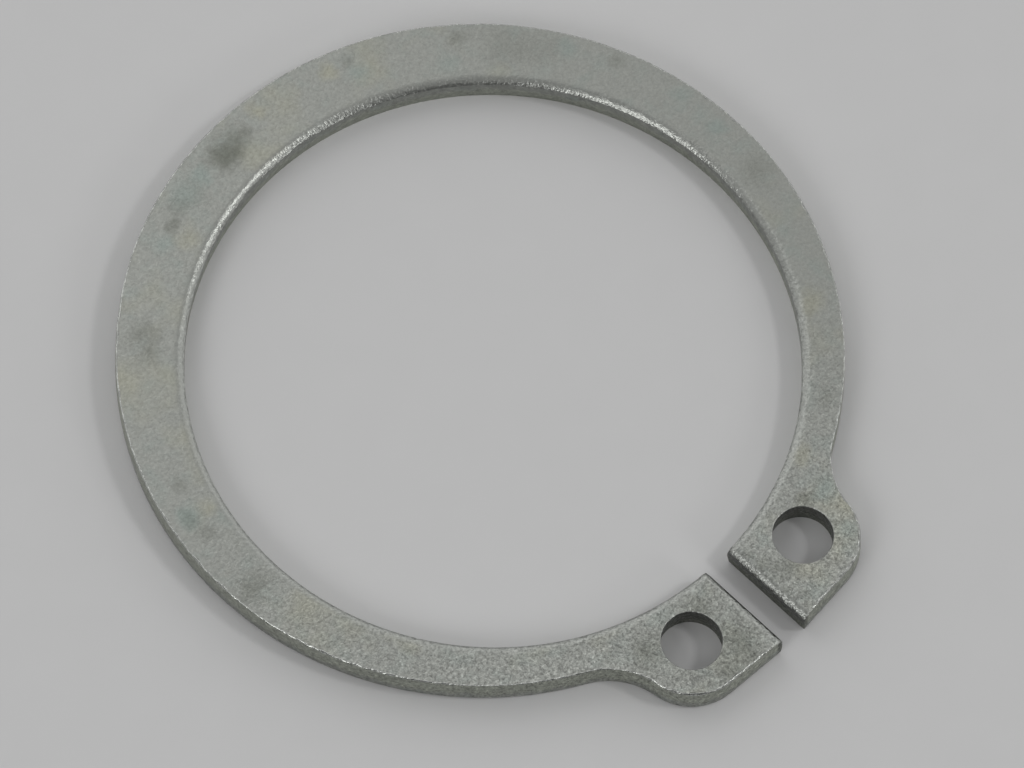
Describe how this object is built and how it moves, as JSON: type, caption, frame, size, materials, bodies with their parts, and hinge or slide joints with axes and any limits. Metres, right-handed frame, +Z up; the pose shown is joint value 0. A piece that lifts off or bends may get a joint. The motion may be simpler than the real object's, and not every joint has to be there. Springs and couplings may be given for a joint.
{
  "type": "snap ring",
  "caption": "External retaining ring: an open, tapering spring-steel band with a plier hole in each lug, which snaps into a shaft groove.",
  "frame": {"origin": "centre of the inner circle, on the lower face", "axes": "+Z up through the ring along the shaft's axis, +Y from the centre to the middle of the band opposite the gap, so the gap opens towards -Y"},
  "size_m": [0.035, 0.0382, 0.0015],
  "materials": {
    "zinc_plated_spring_steel": "dull zinc plating with a fine mottled grain, brighter along the rolled upper edges"
  },
  "bodies": {
    "root": {"snap_ring": "zinc_plated_spring_steel"}
  },
  "joints": []
}
